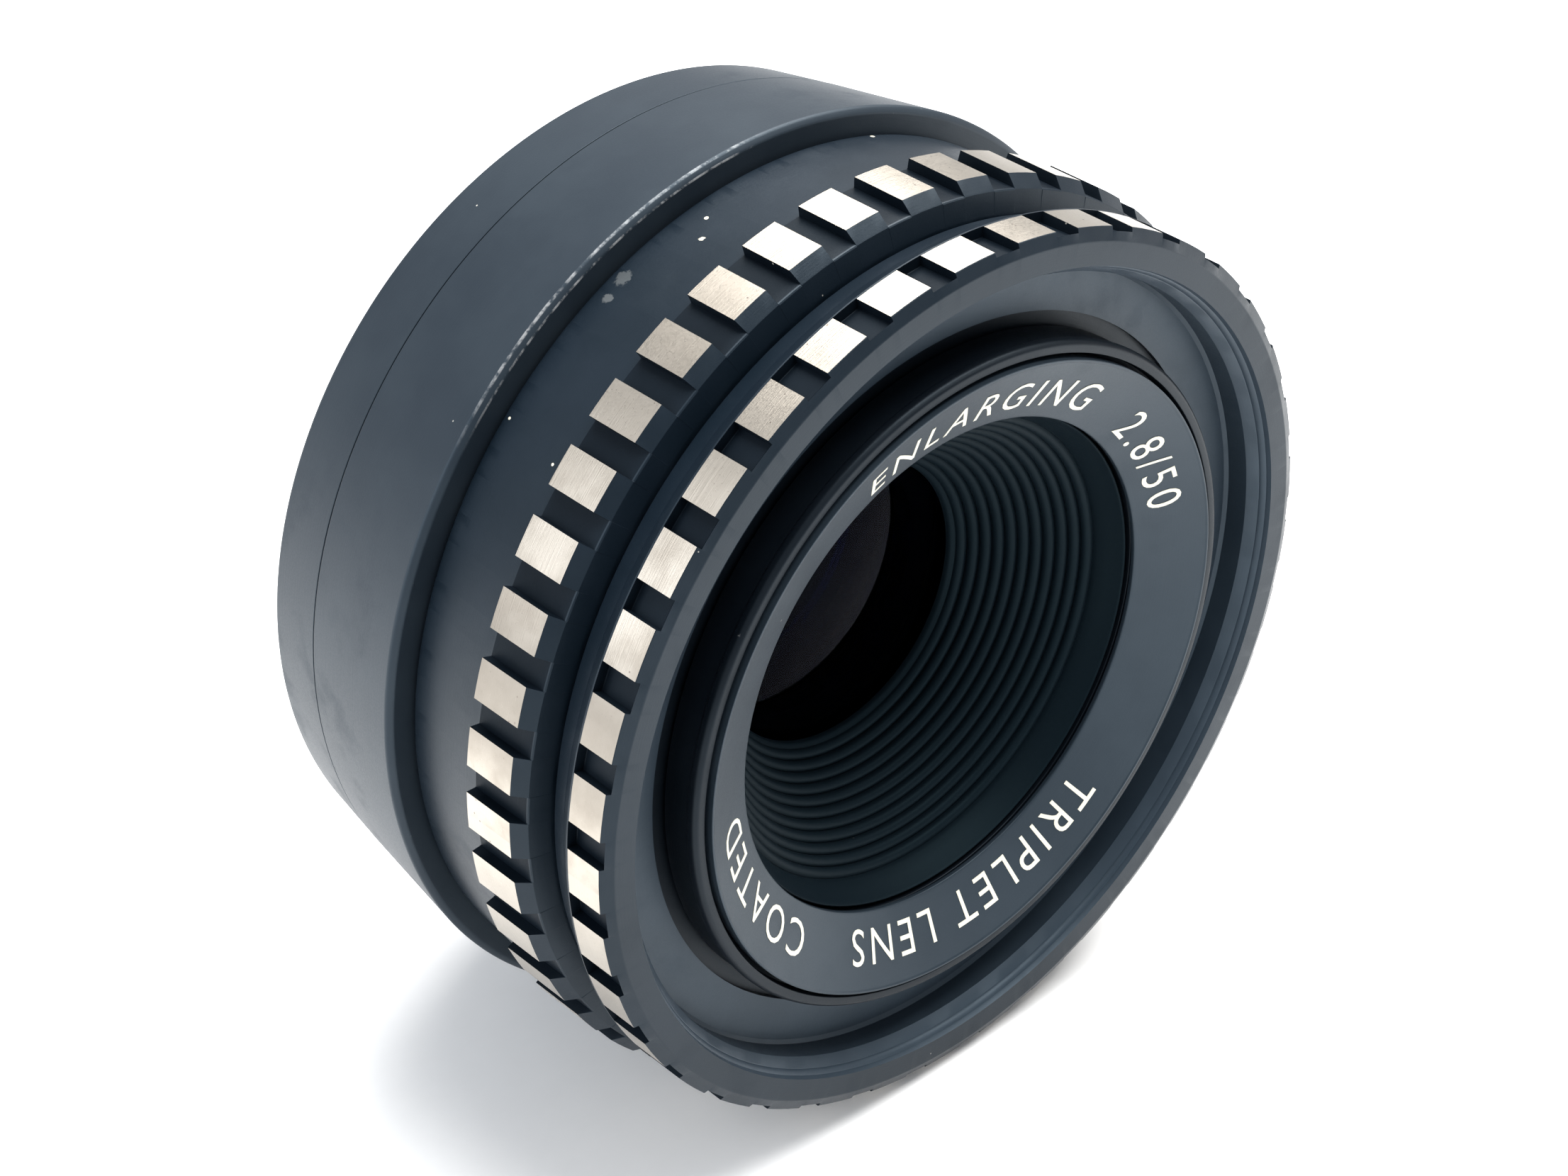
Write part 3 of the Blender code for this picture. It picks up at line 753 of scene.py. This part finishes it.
def build_focus_ring():
    front = -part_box("focus_ring")[0].y / MM
    crest = GRIP_CREST[0]
    floor = crest - SLOT_DEPTH
    shared_front = [(25.72, front, 0.0), (25.86, front - 0.04, 0.2)]
    shared_rear = [
        (27.09, 19.86, 0.0),
        (27.085, 19.80, 0.0),
        (26.98, 18.60, 0.0),
        (26.62, 15.20, 0.0),
        (26.56, 14.02, 0.3),
        (26.48, 13.86, 0.6),
        (26.36, 13.80, 0.3),
        (25.62, 13.80, 0.0),
        (24.70, 13.80, 0.0),
        (24.70, 10.50, 0.0),
        (22.60, 10.50, 0.0),
        (22.60, 18.00, 0.0),
        (24.90, 18.00, 0.0),
        (24.90, front - 0.12, 0.0),
        (25.00, front, 0.6),
    ]
    land = [
        (27.06, 24.24, 0.2),
        (27.12, 24.18, 0.2),
        (27.70, 23.53, 0.9),
        (crest, 23.50, 0.6),
        (crest, 19.93, 0.6),
        (27.70, 19.90, 0.9),
        (27.12, 19.885, 0.0),
    ]
    slot = [
        (27.02, 24.27, 0.4),
        (27.08, 24.21, 0.6),
        (floor, 24.12, 0.2),
        (floor, 23.40, 0.0),
        (floor, 19.96, 0.0),
        (floor - 0.002, 19.92, 0.0),
        (floor - 0.004, 19.89, 0.0),
    ]
    ring = milled_ring(
        "focus_ring_fine",
        shared_front + land + shared_rear,
        shared_front + slot + shared_rear,
        (5, 6),
        FOCUS_LANDS,
        FOCUS_LAND_DEG,
        FOCUS_FIRST_LAND_DEG,
    )
    stands_for(ring, "focus_ring", "focusing")


def build_aperture_ring():
    front = -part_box("aperture_ring")[0].y / MM
    crest = APERTURE_CREST_R
    floor = crest - SLOT_DEPTH
    shared_front = [
        (24.90, front, 0.5),
        (24.98, front, 0.3),
        (26.22, front, 0.2),
        (26.30, front - 0.01, 0.6),
    ]
    shared_rear = [
        (crest, 27.36, 0.9),
        (crest, 27.27, 0.9),
        (27.00, 27.22, 0.5),
        (26.43, 26.36, 0.2),
        (26.38, 26.24, 0.0),
        (25.92, 25.00, 0.4),
        (25.86, 24.95, 0.0),
        (21.30, 24.95, 0.0),
        (21.30, 27.40, 0.0),
        (23.90, 27.40, 0.0),
        (24.10, 27.60, 0.2),
    ]
    mouth = [
        (24.13, 28.95, 0.0),
        (24.52, 29.52, 0.0),
        (24.58, 29.56, 0.3),
        (24.60, 29.66, 0.0),
        (24.74, 29.88, 0.0),
        (24.81, 29.92, 0.4),
        (24.83, 30.02, 0.0),
    ]
    land = [
        (26.34, front - 0.03, 0.3),
        (27.00, 29.90, 0.9),
        (crest, 29.86, 0.6),
        (crest, 27.45, 0.4),
        (crest, 27.40, 0.4),
    ]
    slot = [
        (26.34, front - 0.03, 0.3),
        (26.78, 30.00, 0.5),
        (floor + 0.10, 29.74, 0.2),
        (floor, 27.44, 0.0),
        (floor + 0.03, 27.40, 0.0),
    ]
    ring = milled_ring(
        "aperture_ring_fine",
        shared_front + land + shared_rear + mouth,
        shared_front + slot + shared_rear + mouth,
        (6, 8),
        APERTURE_LANDS,
        APERTURE_LAND_DEG,
        APERTURE_FIRST_LAND_DEG,
        bore=(17, 27),
    )
    stands_for(ring, "aperture_ring", "aperture")


# ------------------------------------------------------------------- lens head


def ribbed_profile():
    """The stepped funnel: a plain band at the mouth, then rounded ridges down to the glass."""
    first = Vector((14.35, 25.66))  # (radius, station) of the first and last ridge
    last = Vector((9.15, 19.35))
    along = last - first
    ridges = 11
    inward = Vector((-along.y, along.x)).normalized()
    if inward.x > 0:
        inward = -inward
    rings = [(15.28, 18.92, 0.0), (15.28, 27.38, 0.0)]
    rings += [(15.22, 27.40, 0.0), (15.12, 27.30, 0.0), (14.86, 26.40, 0.0), (14.48, 25.90, 0.0)]
    height = 0.30
    for ridge in range(ridges):
        for step in range(9):
            t = step / 9
            lift = height * math.sqrt(max(0.0, 1 - (2 * t - 1) ** 2)) ** 1.2
            point = first + along * ((ridge + t) / ridges) + inward * (lift - 0.16)
            rings.append((point.x, point.y, 0.35 if 0.3 < t < 0.7 else 0.0))
    rings += [(9.02, 19.30, 0.0), (8.92, 19.20, 0.5), (8.90, 18.92, 0.0)]
    return rings


def build_head():
    tube = turned(
        "front_tube_fine",
        [
            (20.28, 29.85, 0.10),
            (20.50, 29.60, 0.12),
            (20.50, 29.22, 0.05),
            (20.38, 29.12, 0.05),
            (20.38, 27.30, 0.05),
            (16.20, 27.30),
            (16.20, 12.20),
            (15.60, 12.20),
            (15.60, 27.45),
            (19.78, 29.00),
            (19.78, 29.85, 0.08),
        ],
        HEAD_BLACK,
        columns=224,
    )
    stands_for(tube, "front_tube", "lens_head")
    # The round skin of the head barrel's collar, which shows between the grip rows when the head
    # is out.
    collar = turned(
        "head_collar_fine",
        [(24.45, 24.67), (24.45, 19.58), (23.95, 19.58), (23.95, 24.67)],
        HEAD_BLACK,
    )
    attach(collar, "lens_head")
    name = turned(
        "name_ring_fine",
        [
            (19.50, 30.10, 0.07),
            (19.50, 29.25),
            (15.32, 27.75),
            (15.32, 28.02, 0.06),
            (NAME_INNER_R, NAME_INNER_STATION, 0.06),
            (NAME_OUTER_R, NAME_OUTER_STATION, 0.08),
            (19.38, 30.10, 0.05),
        ],
        NAME_BLACK,
        columns=224,
    )
    stands_for(name, "name_ring", "lens_head")
    rings = ribbed_profile()
    columns = [(360.0 * i / 192, rings) for i in range(192)]
    mesh = mesh_from_columns("ribbed_baffle_fine", columns)
    baffle = finish_mesh("ribbed_baffle_fine", mesh, BAFFLE, sharp=50)
    stands_for(baffle, "ribbed_baffle", "lens_head")
    build_glass("front_glass", 10.20, (18.20, 19.70), (15.90, 15.90))
    build_glass("middle_glass", 8.60, (14.15, 13.80), (12.90, 13.15))
    build_glass("rear_glass", 9.90, (5.30, 6.90), (3.90, 2.65))
    cell = turned(
        "rear_cell_fine",
        [
            (13.90, 7.60),
            (13.90, 6.40),
            (16.00, 6.40),
            (16.00, 5.60),
            (12.60, 5.60),
            (12.60, 2.20, 0.05),
            (12.32, 1.90, 0.08),
            (10.32, 1.90, 0.06),
            (10.20, 2.05),
            (10.20, 6.70),
            (9.30, 6.70),
            (9.30, 7.60),
        ],
        HEAD_BLACK,
        columns=160,
    )
    stands_for(cell, "rear_cell", "lens_head")
    retainer = turned(
        "rear_retainer_fine",
        [
            (9.90, 3.40),
            (9.90, 2.10, 0.05),
            (9.80, 2.00, 0.05),
            (9.30, 2.00, 0.08),
            (8.90, 2.45, 0.05),
            (8.90, 3.40),
        ],
        HEAD_BLACK,
        columns=160,
    )
    stands_for(retainer, "rear_retainer", "lens_head")


def build_glass(node, edge_r, front, rear):
    """A polished element. front and rear are (edge station, vertex station) of its two surfaces."""
    rings = 18

    def surface(edge_station, vertex_station):
        found = []
        for ring in range(rings + 1):
            r = edge_r * ring / rings
            sag = (edge_station - vertex_station) * (r / edge_r) ** 2
            found.append((r, vertex_station + sag, 0.0))
        return found

    rows = surface(*front) + surface(*rear)[::-1]
    columns = [(360.0 * i / 128, rows) for i in range(128)]
    mesh = mesh_from_columns(node + "_fine", columns, closed=False)
    glass = finish_mesh(node + "_fine", mesh, GLASS, sharp=30)
    stands_for(glass, node, "lens_head")


# --------------------------------------------------------------------- marking


def arc_text(name, words, middle_deg):
    """Painted lettering on the name ring, tops outward, reading clockwise seen from the front."""
    curve = bpy.data.curves.new(name, "FONT")
    curve.body = words
    curve.size = LETTER_HEIGHT * MM
    curve.align_x = "CENTER"
    curve.space_character = LETTER_SPACING
    curve.resolution_u = 4
    curve.offset = -0.008 * MM
    curve.extrude = 0.012 * MM
    text = bpy.data.objects.new(name, curve)
    bpy.context.scene.collection.objects.link(text)
    bpy.context.view_layer.update()
    graph = bpy.context.evaluated_depsgraph_get()
    mesh = bpy.data.meshes.new_from_object(text.evaluated_get(graph), depsgraph=graph)
    bpy.data.objects.remove(text)
    shape = bmesh.new()
    shape.from_mesh(mesh)
    long_edges = [e for e in shape.edges if e.calc_length() > 0.35 * MM]
    bmesh.ops.subdivide_edges(shape, edges=long_edges, cuts=2)
    lift = 0.02
    for vert in shape.verts:
        x, y, z = vert.co / MM
        radius = LETTER_BASE_R + y
        turn = math.radians(middle_deg) - x / (LETTER_BASE_R + LETTER_HEIGHT * 0.35)
        station = NAME_INNER_STATION + (radius - NAME_INNER_R) * NAME_SLOPE + lift + z
        vert.co = Vector((radius * math.cos(turn), -station, radius * math.sin(turn))) * MM
    bmesh.ops.recalc_face_normals(shape, faces=shape.faces)
    shape.to_mesh(mesh)
    shape.free()
    mesh.shade_flat()
    mesh.materials.clear()
    mesh.materials.append(CREAM)
    piece = bpy.data.objects.new(name, mesh)
    bpy.context.scene.collection.objects.link(piece)
    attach(piece, "lens_head")


def build_marking():
    """Generic wording on the name ring."""
    words = (
        ("marking_purpose", "ENLARGING", 85.0),
        ("marking_numbers", "2.8/50", 28.0),
        ("marking_design", "TRIPLET LENS", 276.0),
        ("marking_coating", "COATED", 205.0),
    )
    for name, text, middle in words:
        arc_text(name, text, middle)


# ----------------------------------------------------------- the inner CAD work


def finish_inner_nodes():
    """The pieces that stay as the CAD made them get a fine material of their own."""
    choice = {
        "head_barrel": HEAD_BLACK,
        "aperture_retainer": HEAD_BLACK,
        "focus_nut": BRASS,
        "front_cell": BAFFLE,
        "middle_cell": BAFFLE,
        "iris_base_plate": BAFFLE,
        "iris_drive_sleeve": BAFFLE,
    }
    for name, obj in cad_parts.items():
        if name in choice:
            material = choice[name]
        elif name.startswith("guide_key"):
            material = BRASS
        else:
            material = STEEL
        if obj.data.materials:
            obj.data.materials[0] = material
        else:
            obj.data.materials.append(material)


# ------------------------------------------------------------ table and lights


def build_stage():
    """A pale table that the lens rests on, at the barrel's edge and the rear grip row."""
    slope = math.atan2(BARREL_STEP[0] - GRIP_CREST[0], GRIP_CREST[1] - BARREL_STEP[1])
    mesh = bpy.data.meshes.new("table")
    half = 4.0
    corners = [(-half, -half, 0), (half, -half, 0), (half, half, 0), (-half, half, 0)]
    mesh.from_pydata(corners, [], [(0, 1, 2, 3)])
    mesh.materials.append(table_paper())
    table = bpy.data.objects.new("table", mesh)
    bpy.context.scene.collection.objects.link(table)
    touch = Vector((0, -BARREL_STEP[1], -BARREL_STEP[0])) * MM
    table.matrix_world = Matrix.Translation(touch) @ Matrix.Rotation(-slope, 4, "X")


def soft_light(name, place, toward, size, power, color):
    lamp = bpy.data.lights.new(name, "AREA")
    lamp.shape = "RECTANGLE"
    lamp.size, lamp.size_y = size
    lamp.energy = power
    lamp.color = color
    obj = bpy.data.objects.new(name, lamp)
    bpy.context.scene.collection.objects.link(obj)
    obj.location = place
    obj.rotation_euler = (Vector(toward) - Vector(place)).to_track_quat("-Z", "Y").to_euler()


def build_lights():
    world = bpy.data.worlds.new("studio")
    bpy.context.scene.world = world
    world.use_nodes = True
    background = world.node_tree.nodes["Background"]
    background.inputs["Color"].default_value = (0.95, 0.97, 1.0, 1)
    background.inputs["Strength"].default_value = 0.64
    middle = (0.0, -0.015, 0.0)
    soft_light("key", (0.16, 0.02, 0.42), middle, (0.5, 0.5), 8.0, (1.0, 0.985, 0.96))
    soft_light("fill", (-0.42, 0.10, 0.20), middle, (0.45, 0.45), 1.8, (0.93, 0.96, 1.0))


def build_camera():
    """The camera of the photograph: well to the left of the front, looking down at the lens."""
    camera = bpy.data.cameras.new("camera")
    camera.sensor_fit = "HORIZONTAL"
    camera.sensor_width = SENSOR_WIDTH
    camera.lens = FOCAL_LENGTH
    camera.clip_start = 0.005
    camera.clip_end = 50.0
    obj = bpy.data.objects.new("camera", camera)
    bpy.context.scene.collection.objects.link(obj)
    place = Vector(CAMERA_PLACE) * MM
    forward = Vector(CAMERA_FORWARD)
    right = Vector(CAMERA_RIGHT)
    up = right.cross(forward).normalized()
    turn = Matrix((right, up, -forward)).transposed()
    obj.matrix_world = Matrix.Translation(place) @ turn.to_4x4()
    bpy.context.scene.camera = obj
    bpy.context.scene.view_settings.view_transform = "Standard"


build_barrel()
build_focus_ring()
build_aperture_ring()
build_head()
build_marking()
finish_inner_nodes()
build_stage()
build_lights()
build_camera()
